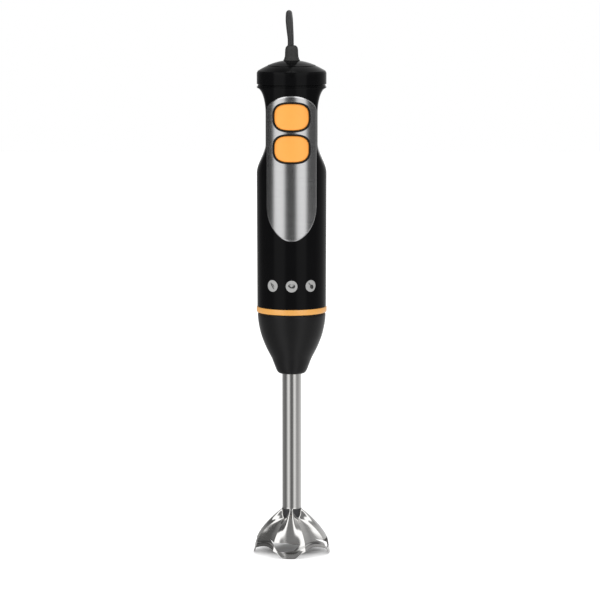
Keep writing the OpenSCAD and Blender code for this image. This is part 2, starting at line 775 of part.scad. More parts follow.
module drive_shaft() color([0.75, 0.75, 0.78])
    rod(drive_r, 10, drive_top);

// Hexagonal cup that takes the motor's dog
module drive_socket() color([0.9, 0.9, 0.88])
    difference() {
        rod(8, drive_top - 8, z_coupling + 7);
        rod(drive_r, drive_top - 9, drive_top);
        translate([0, 0, drive_top]) cylinder(r=hex_r + gap, h=far, $fn=6);
    }

// Hub, two swept wings with turned-up tips, and the nut below
module blade_set() color([0.8, 0.81, 0.83])
    difference() {
        union() {
            rod(5.5, 14.2, bell_h - 12.5);
            rod(4.6, 9, 13);
            for (a = [0, 180]) rotate([0, 0, a + 20]) {
                intersection() {
                    box(0, blade_r, -5, 3.5, 12.8, 14.4);
                    rod(blade_r, 0, far);
                }
                translate([blade_r - 3, -4, 12.8]) rotate([0, -35, 0]) cube([1.4, 6, 6]);
            }
        }
        rod(drive_r, 10, far);
    }

// ---------------------------------------------------------------- cord

module cord_lead() color([0.2, 0.2, 0.2])
    sweep(concat([for (p = lead_from_exit) exit + p], lead_to_floor), cord_r, 8);

module cord_tail() color([0.2, 0.2, 0.2])
    sweep(tail_route, cord_r, 8);

// Stacked loops with round ends
module cord_hank() color([0.2, 0.2, 0.2])
    difference() {
        for (i = [0:1])
            translate([0, 0, hank_z + i * cord_d]) linear_extrude(height=cord_d) stadium(hank_len[i]);
        box(-far, far, tie_y - tie_w / 2 - running, tie_y + tie_w / 2 + running, 0, hank_z + running);
    }

module stadium(length) {
    r = fold_r + cord_r;
    for (y = [hank_y + r, hank_y + length - r]) translate([0, y]) circle(r=r);
    translate([-r, hank_y + r]) square([2 * r, length - 2 * r]);
}

module cord_tie() color([0.1, 0.1, 0.1]) {
    r = fold_r + cord_r + 0.1;
    top = hank_z + 2 * cord_d + 0.1;
    difference() {
        box(-r - 0.7, r + 0.7, tie_y - tie_w / 2, tie_y + tie_w / 2, 0, top + 0.7);
        box(-r, r, tie_y - far, tie_y + far, hank_z - 0.05, top);
    }
}

// Two-blade plug lying on its narrow side, with a tapered neck
module plug_body() color([0.12, 0.12, 0.12]) {
    translate([-plug[0] / 2, plug_y, 0]) cube(plug);
    translate([0, plug_y, plug[2] / 2]) rotate([90, 0, 0]) cylinder(r1=4.4, r2=3.2, h=11);
}

module plug_blades() color([0.8, 0.75, 0.55])
    for (s = [-1, 1])
        translate([-blade_pin[0] / 2, plug_y + plug[1], plug[2] / 2 + s * blade_gap / 2 - blade_pin[2] / 2])
            cube(blade_pin);

// ---------------------------------------------------------------- nodes

front_housing();
rear_housing();
steel_panel();
button_gasket();
icon_discs();
accent_ring();
top_cap();
strain_relief();
inner_cord();
cord_clamp();
cap_screws();
housing_screws();
control_board();
board_components();
board_screws();
upper_switch();
lower_switch();
speed_track();
wiring();
motor_stator();
field_coils();
upper_motor_bracket();
lower_motor_bracket();
motor_screws();
upper_bearing();
lower_bearing();
brush_holders();
carbon_brushes();
brush_springs();
socket_sleeve();
snap_spring();
cord_lead();
cord_hank();
cord_tail();
cord_tie();
plug_body();
plug_blades();
speed_dial();
dial_wiper();
turbo_button();
turbo_spring();
power_button();
power_spring();
motor_shaft();
armature_core();
armature_windings();
commutator();
cooling_fan();
drive_coupling();
foot_collar();
collar_spigot();
shaft_tube();
upper_bush();
bush_housing();
lower_bush();
shaft_seal();
bell_guard();
drive_shaft();
drive_socket();
blade_set();
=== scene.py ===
"""Immersion blender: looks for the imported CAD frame. Metres, +Z up, front toward -Y."""
import json
import math

import bmesh
import bpy
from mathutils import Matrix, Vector


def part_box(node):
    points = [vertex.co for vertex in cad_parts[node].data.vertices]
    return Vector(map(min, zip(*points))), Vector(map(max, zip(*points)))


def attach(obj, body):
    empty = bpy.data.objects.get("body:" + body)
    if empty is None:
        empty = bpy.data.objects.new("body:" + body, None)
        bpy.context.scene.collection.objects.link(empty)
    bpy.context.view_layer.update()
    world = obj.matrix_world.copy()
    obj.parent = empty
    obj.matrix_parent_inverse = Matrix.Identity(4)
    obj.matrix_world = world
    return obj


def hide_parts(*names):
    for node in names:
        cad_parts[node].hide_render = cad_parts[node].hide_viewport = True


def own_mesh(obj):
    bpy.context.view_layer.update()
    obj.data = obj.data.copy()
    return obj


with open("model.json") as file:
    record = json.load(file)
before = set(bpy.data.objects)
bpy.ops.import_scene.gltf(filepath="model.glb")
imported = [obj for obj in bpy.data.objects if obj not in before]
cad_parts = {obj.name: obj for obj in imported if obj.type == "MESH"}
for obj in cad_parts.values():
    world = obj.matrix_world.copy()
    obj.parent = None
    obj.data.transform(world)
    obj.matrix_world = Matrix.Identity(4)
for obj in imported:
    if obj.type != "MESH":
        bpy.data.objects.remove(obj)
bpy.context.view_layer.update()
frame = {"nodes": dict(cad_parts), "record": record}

MM = 0.001
HANDLE, DIAL, FOOT = "handle", "dial", "foot"


# ---------------------------------------------------------------- levels, from the frame

def low(node):
    """Lowest corner of a CAD node."""
    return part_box(node)[0]


def high(node):
    """Highest corner of a CAD node."""
    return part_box(node)[1]


Z_TUBE = low("shaft_tube")[2]
Z_COLLAR = low("foot_collar")[2]
Z_COLLAR_TOP = high("foot_collar")[2]
Z_ACCENT = low("accent_ring")[2]
Z_BODY = high("accent_ring")[2]
Z_DECK = high("rear_housing")[2]
Z_EXIT = high("strain_relief")[2]
Z_APEX = Z_EXIT - 11.8 * MM
BODY_R = high("accent_ring")[0]
LOW_R = BODY_R - 0.3 * MM
WALL = 2.2 * MM
TUBE_R = high("shaft_tube")[0]
BELL_H = high("bell_guard")[2]
BELL_R = 30.6 * MM
CAP_R = high("top_cap")[0]


# ---------------------------------------------------------------- mesh helpers

def add_object(name, data, body, replaced, slot):
    """Links a new piece in its slot's finish, puts it on its body and hides the CAD parts it stands for."""
    piece = bpy.data.objects.new(name, data)
    bpy.context.scene.collection.objects.link(piece)
    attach(piece, body)
    if replaced:
        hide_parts(*replaced)
    dress(piece, slot)
    return piece


def soften(mesh, angle=35):
    """Smooth shading, with edges sharper than angle kept crisp."""
    for face in mesh.polygons:
        face.use_smooth = True
    mesh.set_sharp_from_angle(angle=math.radians(angle))


def mesh_from(name, verts, faces, angle=35):
    """A checked, welded mesh with its normals outward and its edges shaded."""
    mesh = bpy.data.meshes.new(name)
    mesh.from_pydata([tuple(v) for v in verts], [], faces)
    mesh.validate()
    tidy = bmesh.new()
    tidy.from_mesh(mesh)
    bmesh.ops.remove_doubles(tidy, verts=tidy.verts, dist=1e-7)
    bmesh.ops.recalc_face_normals(tidy, faces=tidy.faces)
    tidy.to_mesh(mesh)
    tidy.free()
    soften(mesh, angle)
    return mesh


def grid_faces(rows, cols, wrap, start=0):
    """Quads between rows of points; wrap joins the last column to the first."""
    faces = []
    for j in range(rows - 1):
        for i in range(cols if wrap else cols - 1):
            n = (i + 1) % cols
            faces.append((start + j * cols + i, start + j * cols + n,
                          start + (j + 1) * cols + n, start + (j + 1) * cols + i))
    return faces


def thick_grid(rows, cols):
    """Faces of a plate: two open grids of points, one behind the other, joined round their edges."""
    half = rows * cols
    faces = grid_faces(rows, cols, False) + grid_faces(rows, cols, False, half)
    for i in range(cols - 1):
        faces.append((i, half + i, half + i + 1, i + 1))
        k = (rows - 1) * cols + i
        faces.append((k, k + 1, half + k + 1, half + k))
    for j in range(rows - 1):
        for c in (0, cols - 1):
            a, b = j * cols + c, (j + 1) * cols + c
            faces.append((a, b, half + b, half + a))
    return faces


def in_mm(points, up=0):
    """Points of (across, up) given in millimetres, raised to a level in metres."""
    return [(x * MM, up + z * MM) for x, z in points]


def catmull(p0, p1, p2, p3, t):
    """A point between p1 and p2 on a smooth curve through all four."""
    return 0.5 * (2 * p1 + (p2 - p0) * t + (2 * p0 - 5 * p1 + 4 * p2 - p3) * t * t
                  + (3 * p1 - p0 - 3 * p2 + p3) * t ** 3)


def rounded(profile, radius, steps=5):
    """An outline of (r, z) with each inner corner replaced by a small arc; the ends stay."""
    out = []
    last = len(profile) - 1
    for i, p in enumerate(profile):
        if i in (0, last):
            out.append(p)
            continue
        p = Vector(p)
        before = Vector(profile[i - 1]) - p
        after = Vector(profile[i + 1]) - p
        cut = min(radius, before.length * 0.45, after.length * 0.45)
        a = p + before.normalized() * cut
        b = p + after.normalized() * cut
        for k in range(steps + 1):
            t = k / steps
            out.append(tuple(a.lerp(p, t).lerp(p.lerp(b, t), t)))
    return out


def revolve(name, profile, segments=128, angle=35):
    """A surface of revolution about the Z axis, from a profile of (r, z)."""
    verts = []
    for r, z in profile:
        for i in range(segments):
            a = 2 * math.pi * i / segments
            verts.append((r * math.sin(a), -r * math.cos(a), z))
    return mesh_from(name, verts, grid_faces(len(profile), segments, True), angle)


def closed(profile):
    """The profile with its first point again at its end."""
    return list(profile) + [profile[0]]


def subtract(piece, cutter):
    """Cuts one mesh from another for good."""
    cut = piece.modifiers.new("cut", "BOOLEAN")
    cut.object = cutter
    cut.solver = "EXACT"
    depsgraph = bpy.context.evaluated_depsgraph_get()
    result = bpy.data.meshes.new_from_object(piece.evaluated_get(depsgraph))
    piece.modifiers.clear()
    piece.data = result
    bpy.data.objects.remove(cutter)


def straight_back(x, z, depth):
    """Places a point of an outline with its depth along Y."""
    return (x, depth, z)


def turned(angle, up=0):
    """A placing function with x and depth turned about the Z axis, and z raised."""
    c, s = math.cos(angle), math.sin(angle)
    return lambda x, z, depth: (x * c - depth * s, x * s + depth * c, up + z)


def prism(name, outline, depth, place):
    """A closed bar: the outline of (x, z) pushed between two depths by a placing function."""
    n = len(outline)
    verts = [place(x, z, d) for d in depth for x, z in outline]
    faces = grid_faces(2, n, True)
    faces.append(tuple(range(n - 1, -1, -1)))
    faces.append(tuple(range(n, 2 * n)))
    piece = bpy.data.objects.new(name, mesh_from(name, verts, faces))
    bpy.context.scene.collection.objects.link(piece)
    return piece


def sweep(name, path, radius, sides=16):
    """A round closed tube along a list of points, with its frame carried along without twist."""
    points = [Vector(p) for p in path]
    last = len(points) - 1
    heading = [(points[min(i + 1, last)] - points[max(i - 1, 0)]).normalized() for i in range(last + 1)]
    across = heading[0].orthogonal().normalized()
    verts = []
    for p, d in zip(points, heading):
        across = (across - d * across.dot(d)).normalized()
        up = d.cross(across)
        for k in range(sides):
            a = 2 * math.pi * k / sides
            verts.append(p + radius * (math.cos(a) * across + math.sin(a) * up))
    faces = grid_faces(len(points), sides, True)
    faces.append(tuple(range(sides - 1, -1, -1)))
    faces.append(tuple(range(last * sides, (last + 1) * sides)))
    return mesh_from(name, verts, faces)


# ---------------------------------------------------------------- materials

def node_of(tree, kind, **values):
    """A new shader node; each value sets the input of that name, or else the property."""
    node = tree.nodes.new(kind)
    for key, value in values.items():
        if key in node.inputs:
            node.inputs[key].default_value = value
        else:
            setattr(node, key, value)
    return node


def remap(tree, value, span, to=(0, 1), soft=False):
    """A socket that carries a value's span over to another, straight or with soft ends."""
    node = node_of(tree, "ShaderNodeMapRange", interpolation_type="SMOOTHSTEP" if soft else "LINEAR")
    for key, number in zip(("From Min", "From Max", "To Min", "To Max"), (*span, *to)):
        node.inputs[key].default_value = number
    tree.links.new(value, node.inputs["Value"])
    return node.outputs["Result"]


def calc(tree, operation, *values):
    """A socket that holds a sum over other sockets and plain numbers."""
    node = node_of(tree, "ShaderNodeMath", operation=operation)
    for k, value in enumerate(values):
        if isinstance(value, (int, float)):
            node.inputs[k].default_value = value
        else:
            tree.links.new(value, node.inputs[k])
    return node.outputs["Value"]


def surface(name, color, rough, metal=0.0, coat=0.0, grain=2500, depth=0.00002, stretch=(1, 1, 1),
            mottle=0.12, rough_swing=0.08, brushed=0.0, specular=0.5, clouds=60):
    """A procedural finish: fine grain in the bump, slow clouds in colour and roughness."""
    mat = bpy.data.materials.new(name)
    mat.use_nodes = True
    tree = mat.node_tree
    link = tree.links.new
    shader = tree.nodes["Principled BSDF"]
    shader.inputs["Metallic"].default_value = metal
    shader.inputs["Coat Weight"].default_value = coat
    shader.inputs["Coat Roughness"].default_value = 0.06
    shader.inputs["Specular IOR Level"].default_value = specular
    place = node_of(tree, "ShaderNodeTexCoord").outputs["Object"]
    spread = node_of(tree, "ShaderNodeMapping", Scale=stretch)
    link(place, spread.inputs["Vector"])
    fine = node_of(tree, "ShaderNodeTexNoise", Scale=grain, Detail=3.0, Roughness=0.6)
    link(spread.outputs["Vector"], fine.inputs["Vector"])
    slow = node_of(tree, "ShaderNodeTexNoise", Scale=clouds, Detail=4.0)
    link(place, slow.inputs["Vector"])
    bump = node_of(tree, "ShaderNodeBump", Strength=0.5, Distance=depth)
    link(fine.outputs["Fac"], bump.inputs["Height"])
    link(bump.outputs["Normal"], shader.inputs["Normal"])
    shade = node_of(tree, "ShaderNodeMix", data_type="RGBA")
    shade.inputs["A"].default_value = (*[c * (1 - mottle) for c in color], 1)
    shade.inputs["B"].default_value = (*[min(c * (1 + mottle), 1) for c in color], 1)
    source = (fine if brushed else slow).outputs["Fac"]
    link(source, shade.inputs["Factor"])
    link(shade.outputs["Result"], shader.inputs["Base Color"])
    swing = (max(rough - rough_swing, 0.02), rough + rough_swing)
    link(remap(tree, source, (0, 1), swing), shader.inputs["Roughness"])
    if brushed:
        shader.inputs["Anisotropic"].default_value = brushed
        around = node_of(tree, "ShaderNodeTangent", direction_type="RADIAL", axis="Z")
        link(around.outputs["Tangent"], shader.inputs["Tangent"])
    return mat


BRUSH_ROUND = (0.02, 0.02, 1)
FINISH = {
    "gloss_black": surface("gloss_black", (0.0035, 0.0035, 0.0038), 0.13, grain=900, depth=0.000004,
                           mottle=0.1, rough_swing=0.02, specular=0.07),
    "satin_black": surface("satin_black", (0.008, 0.008, 0.0083), 0.3, grain=3500, depth=0.00001,
                           rough_swing=0.04, specular=0.2),
    "black_trim": surface("black_trim", (0.004, 0.004, 0.004), 0.4, grain=3000, rough_swing=0.05,
                          specular=0.3),
    "brushed_steel": surface("brushed_steel", (0.6, 0.6, 0.605), 0.17, metal=1, grain=2600,
                             depth=0.000012, stretch=BRUSH_ROUND, mottle=0.16, rough_swing=0.05,
                             brushed=0.8),
    "polished_steel": surface("polished_steel", (0.66, 0.652, 0.638), 0.12, metal=1, grain=1800,
                              depth=0.000004, stretch=BRUSH_ROUND, mottle=0.05, rough_swing=0.03,
                              brushed=0.5),
    # Dark steel for the CAD slot; also laid on the bell's inner faces as painted shade.
    "raw_steel": surface("raw_steel", (0.2, 0.19, 0.18), 0.4, metal=1, mottle=0.2),
    "bright_steel": surface("bright_steel", (0.6, 0.6, 0.61), 0.25, metal=1, mottle=0.08),
    "dark_steel": surface("dark_steel", (0.12, 0.12, 0.125), 0.4, metal=1, mottle=0.2),
    "lamination_steel": surface("lamination_steel", (0.3, 0.3, 0.32), 0.45, metal=1, grain=1500,
                                stretch=(0.01, 0.01, 1), depth=0.0001, mottle=0.3, brushed=0.2),
    "icon_grey": surface("icon_grey", (0.31, 0.31, 0.306), 0.45, grain=4000, mottle=0.06),
    "orange_ring": surface("orange_ring", (0.68, 0.33, 0.075), 0.3, coat=0.4, grain=1500, mottle=0.06),
    "orange_button": surface("orange_button", (0.9, 0.34, 0.052), 0.42, grain=2600, depth=0.00002,
                             mottle=0.05, rough_swing=0.06, clouds=90),
    "relief_rubber": surface("relief_rubber", (0.022, 0.022, 0.021), 0.6, grain=2600, depth=0.00004),
    "seal_rubber": surface("seal_rubber", (0.015, 0.015, 0.015), 0.6),
    "cord_black": surface("cord_black", (0.02, 0.02, 0.02), 0.45, grain=2200, depth=0.00003,
                          mottle=0.2),
    "plug_rubber": surface("plug_rubber", (0.016, 0.016, 0.016), 0.5, grain=2600, depth=0.00004),
    "tie_black": surface("tie_black", (0.02, 0.02, 0.02), 0.5),
    "board_green": surface("board_green", (0.015, 0.1, 0.035), 0.35, coat=0.3, mottle=0.25),
    "component_yellow": surface("component_yellow", (0.55, 0.42, 0.08), 0.4),
    "inner_plastic": surface("inner_plastic", (0.03, 0.03, 0.033), 0.5),
    "pale_plastic": surface("pale_plastic", (0.62, 0.61, 0.56), 0.5),
    "wire_red": surface("wire_red", (0.35, 0.03, 0.02), 0.45),
    "copper_wire": surface("copper_wire", (0.72, 0.3, 0.14), 0.3, metal=1, grain=1600,
                           stretch=(1, 1, 0.05), depth=0.0002, mottle=0.25),
    "cast_aluminium": surface("cast_aluminium", (0.6, 0.6, 0.61), 0.45, metal=1, grain=900,
                              depth=0.00006),
    "bronze": surface("bronze", (0.5, 0.33, 0.16), 0.45, metal=1, grain=4000, mottle=0.25),
    "brass_part": surface("brass_part", (0.75, 0.55, 0.25), 0.28, metal=1, mottle=0.1),
    "carbon": surface("carbon", (0.02, 0.02, 0.021), 0.6, mottle=0.3),
    "icon_dark": surface("icon_dark", (0.02, 0.02, 0.02), 0.5),
}


def dress(piece, finish):
    """One finish all over a piece, its cut faces too."""
    piece.data.materials.clear()
    piece.data.materials.append(FINISH[finish])
    piece.data.polygons.foreach_set("material_index", [0] * len(piece.data.polygons))


def dress_frame():
    """Every CAD node takes the finish of its slot."""
    for sub in frame["record"]["subparts"]:
        node = frame["nodes"][sub["node"]]
        for place in node.material_slots:
            place.material = FINISH[sub["material_slot"]]


# ---------------------------------------------------------------- camera, lights and floor

EYE = Vector((0.00655, -2.57, 0.5228))
TARGET = Vector((0.00655, 0, 0.2018))
LENS_MM = 197


def set_camera():
    """At the photograph's height and distance, looking slightly down."""
    data = bpy.data.cameras.new("camera")
    data.sensor_width = 36
    data.lens = LENS_MM
    data.clip_end = 50
    camera = bpy.data.objects.new("camera", data)
    camera.location = EYE
    camera.rotation_euler = (TARGET - EYE).to_track_quat("-Z", "Y").to_euler()
    bpy.context.scene.collection.objects.link(camera)
    bpy.context.scene.camera = camera


def soft_box(name, azimuth, distance, height, size, power):
    """A rectangular lamp at an azimuth round the object: 0 is in front, 90 to the right."""
    a = math.radians(azimuth)
    data = bpy.data.lights.new(name, "AREA")
    data.shape = "RECTANGLE"
    data.size, data.size_y = size
    data.energy = power
    lamp = bpy.data.objects.new(name, data)
    lamp.location = (distance * math.sin(a), -distance * math.cos(a), height)
    aim = Vector((0, 0, 0.22)) - lamp.location
    lamp.rotation_euler = aim.to_track_quat("-Z", "Y").to_euler()
    lamp.visible_glossy = False
    bpy.context.scene.collection.objects.link(lamp)


# What shiny surfaces see round the studio, overhead, at eye level and below it: azimuth in
# degrees (0 in front, positive to the right) and brightness, with soft steps between.
STUDIO_TOP = [(-180, 0.45), (-150, 0.3), (-112, 0.12), (-62, 0.12), (-55, 1.6), (-24, 1.6), (-17, 0.24),
              (9, 0.24), (16, 1.6), (46, 1.6), (56, 0.42), (88, 0.34), (118, 0.5), (180, 0.7)]
STUDIO_HIGH = [(-180, 0.45), (-150, 0.3), (-112, 0.06), (-64, 0.04), (-57, 1.15), (-26, 1.15),
               (-18, 0.06), (12, 0.06), (19, 1.15), (46, 1.15), (54, 0.06), (88, 0.1), (118, 0.45),
               (180, 0.7)]
STUDIO_LOW = [(-180, 0.7), (-130, 0.35), (-95, 0.2), (-72, 0.2), (-58, 0.5), (-44, 1.0), (-30, 0.9),
              (-15, 0.26), (0, 0.16), (15, 0.26), (28, 0.9), (42, 1.0), (56, 0.5), (80, 0.42),
              (104, 0.6), (180, 0.95)]
OVERHEAD_LEAN = 0.6      # how far the panels in front reach over the top


def studio_ring(tree, turn, levels):
    """A ring of soft panels as a colour ramp over the azimuth."""
    ring = node_of(tree, "ShaderNodeValToRGB")
    stops = ring.color_ramp.elements
    for k, (angle, level) in enumerate(levels):
        place = (angle + 180) / 360
        stop = stops[0] if k == 0 else stops[-1] if k == len(levels) - 1 else stops.new(place)
        stop.position = place
        stop.color = (level, level, level, 1)
    tree.links.new(turn, ring.inputs["Fac"])
    return ring.outputs["Color"]


def by_height(tree, height, start, end, below, above):
    """One ring where the direction points low and another where it points high."""
    rings = node_of(tree, "ShaderNodeMix", data_type="RGBA")
    tree.links.new(remap(tree, height, (start, end), soft=True), rings.inputs["Factor"])
    tree.links.new(below, rings.inputs["A"])
    tree.links.new(above, rings.inputs["B"])
    return rings.outputs["Result"]


def set_world():
    """White for the eye and for soft light; three rings of soft panels for reflections."""
    world = bpy.data.worlds.new("studio")
    bpy.context.scene.world = world
    world.use_nodes = True
    tree = world.node_tree
    link = tree.links.new
    backdrop = tree.nodes["Background"]
    backdrop.inputs["Color"].default_value = (1, 1, 1, 1)
    backdrop.inputs["Strength"].default_value = 1.0
    room = node_of(tree, "ShaderNodeBackground", Strength=1.0)
    where = node_of(tree, "ShaderNodeTexCoord")
    split = node_of(tree, "ShaderNodeSeparateXYZ")
    link(where.outputs["Generated"], split.inputs["Vector"])
    front = calc(tree, "MULTIPLY", split.outputs["Y"], -1)
    rise = calc(tree, "POWER", calc(tree, "MAXIMUM", split.outputs["Z"], 0), 2)
    ahead = calc(tree, "MULTIPLY_ADD", rise, OVERHEAD_LEAN, front)
    azimuth = calc(tree, "ARCTAN2", split.outputs["X"], ahead)
    turn = remap(tree, azimuth, (-math.pi, math.pi))
    rings = by_height(tree, split.outputs["Z"], -0.15, -0.1,
                      studio_ring(tree, turn, STUDIO_LOW), studio_ring(tree, turn, STUDIO_HIGH))
    rings = by_height(tree, split.outputs["Z"], 0.06, 0.2, rings, studio_ring(tree, turn, STUDIO_TOP))
    link(rings, room.inputs["Color"])
    ray = node_of(tree, "ShaderNodeLightPath")
    mix = node_of(tree, "ShaderNodeMixShader")
    link(ray.outputs["Is Glossy Ray"], mix.inputs["Fac"])
    link(backdrop.outputs["Background"], mix.inputs[1])
    link(room.outputs["Background"], mix.inputs[2])
    link(mix.outputs["Shader"], tree.nodes["World Output"].inputs["Surface"])
    bpy.context.scene.view_settings.view_transform = "Standard"


def set_floor():
    """A white floor that glows enough to run into the backdrop, its glow faded out under the bell as a
    painted contact shadow.
    """
    mesh = mesh_from("floor", [(-4, -4, 0), (4, -4, 0), (4, 4, 0), (-4, 4, 0)], [(0, 1, 2, 3)])
    floor = bpy.data.objects.new("floor", mesh)
    bpy.context.scene.collection.objects.link(floor)
    mat = surface("floor_white", (0.9, 0.9, 0.9), 0.6, mottle=0.01, grain=300, depth=0.00001,
                  specular=0.1)
    tree = mat.node_tree
    shader = tree.nodes["Principled BSDF"]
    shader.inputs["Emission Color"].default_value = (1, 1, 1, 1)
    # Painted shadow: the floor's glow is zero within about 20 mm of a point just behind the bell's axis and
    # rises to full by 34 mm, which also lightens the bell's real cast shadow nearby.
    where = node_of(tree, "ShaderNodeNewGeometry")
    reach = node_of(tree, "ShaderNodeVectorMath", operation="DISTANCE")
    reach.inputs[1].default_value = (0, 14 * MM, 0)
    tree.links.new(where.outputs["Position"], reach.inputs[0])
    glow_with_painted_shadow = remap(tree, reach.outputs["Value"], (20 * MM, 34 * MM), (0, 0.38), soft=True)
    tree.links.new(glow_with_painted_shadow, shader.inputs["Emission Strength"])
    mesh.materials.append(mat)
    floor.location.z = -0.0002
    floor.visible_glossy = False


def set_stage():
    set_camera()
    set_world()
    set_floor()
    soft_box("key_left", -44, 1.5, 0.6, (0.8, 1.4), 4)
    soft_box("key_right", 30, 1.5, 0.6, (0.6, 1.4), 3)


# ---------------------------------------------------------------- cord

CORD_D = 4.6 * MM
EXIT = Vector((-0.8 * MM, 0, Z_EXIT))
LEAD_FROM_EXIT = [
    (0, 0, 0), (0, 0, 4.6), (-0.6, 0.8, 9.6), (-1.2, 2.8, 14.4), (-1.6, 5.8, 18.6), (-1.6, 9.8, 21.8),
    (-1.5, 14.4, 23.8), (-1.3, 19.4, 24.4), (-1, 24.4, 23.8), (-0.8, 29, 21.8), (-0.5, 33, 18.6),
    (-0.3, 36, 14.4), (-0.1, 37.9, 9.6), (0.1, 38.5, 4.6), (0.3, 38.5, -10), (0.4, 38.5, -30),
    (0.5, 38.5, -60), (0.5, 38.5, -90), (0.6, 39, -120), (0.6, 39, -150),
    (0.7, 39, -180), (0.7, 39.5, -210), (0.8, 39.5, -240), (0.8, 40, -270), (0.8, 40, -300),
    (0.8, 40.5, -330), (0.8, 40.5, -355),
]
LEAD_TO_FLOOR = [(0, 40.5, 33), (0, 40.5, 21), (0, 41.5, 14.5), (0, 44.5, 9.8)]
LEAD_ON_FLOOR = [(0, 49.5, 5.4), (0.3, 55, 3.3), (1, 61, 2.9), (3.6, 69, 2.9), (7.4, 78, 2.9),
                 (11, 87, 2.9), (13.2, 95, 2.9)]
TAIL_ROUTE = [
    (13.6, 52, 11.6), (12.2, 62, 12.2), (9, 72, 12.2), (5, 83, 12.1), (2, 94, 12), (0.5, 105, 11.5),
    (0, 114, 10.5), (0, 122, 9.5), (0, 129, 9),
]
FOLD_R = 3 * CORD_D
HANK_Z = 0.6 * MM
HANK_LEN = (102 * MM, 80.6 * MM)
FOLD_STEPS = 12


def smooth_path(points, steps=6):
    """A Catmull-Rom curve through given points."""
    points = [Vector(p) for p in points]
    out = []
    for i in range(len(points) - 1):
        p0, p1, p2 = points[max(i - 1, 0)], points[i], points[i + 1]
        p3 = points[min(i + 2, len(points) - 1)]
        out += [catmull(p0, p1, p2, p3, k / steps) for k in range(steps)]
    out.append(points[-1])
    return out


def hank_path():
    """Two loops, one on the other, wound from the right-hand run."""
    near = low("cord_hank")[1] + FOLD_R + CORD_D / 2
    path = []
    for turn, length in enumerate(HANK_LEN):
        z = HANK_Z + CORD_D / 2 + turn * CORD_D
        away = low("cord_hank")[1] + length - FOLD_R - CORD_D / 2
        if turn:
            path.append((FOLD_R, near + 0.3 * (away - near), z))
        for k in range(FOLD_STEPS + 1):
            a = math.pi * k / FOLD_STEPS
            path.append((FOLD_R * math.cos(a), away + FOLD_R * math.sin(a), z))
        path.append((-FOLD_R, (near + away) / 2, z))
        for k in range(FOLD_STEPS):
            a = math.pi * k / FOLD_STEPS
            lift = CORD_D * max(0, k / FOLD_STEPS - 0.3) / 0.7 * (0.85 if turn else 1)
            path.append((-FOLD_R * math.cos(a), near - FOLD_R * math.sin(a), z + lift))
    return path


def make_cord():
    """The whole cord as one round tube, and its centre line."""
    route = [EXIT + Vector(p) * MM for p in LEAD_FROM_EXIT]
    route += [Vector(p) * MM for p in LEAD_TO_FLOOR + LEAD_ON_FLOOR]
    route += [Vector(p) for p in hank_path()]
    route += [Vector(p) * MM for p in TAIL_ROUTE]
    path = smooth_path(route, 4)
    cord = add_object("mains_cord", sweep("mains_cord", path, CORD_D / 2), HANDLE,
                      ("cord_lead", "cord_hank", "cord_tail"), "cord_black")
    return cord, [tuple(p) for p in path]


def make_tie():
    """A flat strap round the hank, with its closed twist on top."""
    lo, hi = low("cord_tie"), high("cord_tie")
    thick = 0.7 * MM
    mid = (lo[1] + hi[1]) / 2
    corners = [(hi[0], lo[2]), (hi[0], hi[2]), (lo[0], hi[2]), (lo[0], lo[2])]
    loop = rounded([(0, lo[2]), *corners, (0, lo[2])], 2.6 * MM, 6)[:-1]
    centre = Vector((0, (lo[2] + hi[2]) / 2))
    verts = []
    for y in (lo[1], hi[1]):
        for x, z in loop:
            verts.append((x, y, z))
        for x, z in loop:
            inward = centre - Vector((x, z))
            verts.append((x + math.copysign(thick, inward[0]) if abs(x) > hi[0] * 0.9 else x, y,
                          z + math.copysign(thick, inward[1]) if abs(inward[1]) > 3.5 * MM else z))
    n = len(loop)
    faces = []
    for i in range(n):
        m = (i + 1) % n
        faces += [(i, m, 2 * n + m, 2 * n + i), (n + i, 3 * n + i, 3 * n + m, n + m),
                  (i, n + i, n + m, m), (2 * n + i, 2 * n + m, 3 * n + m, 3 * n + i)]
    tie = add_object("cord_strap", mesh_from("cord_strap", verts, faces), HANDLE, ("cord_tie",),
                     "tie_black")
    twist = [(math.sin(k * 0.9) * 1.1 * MM, mid + math.cos(k * 0.9) * 0.5 * MM,
              hi[2] + (0.3 + 0.28 * k) * MM) for k in range(9)]
    knot = add_object("strap_twist", sweep("strap_twist", smooth_path(twist, 3), 0.55 * MM, 8), HANDLE,
                      (), "tie_black")
    return tie, knot


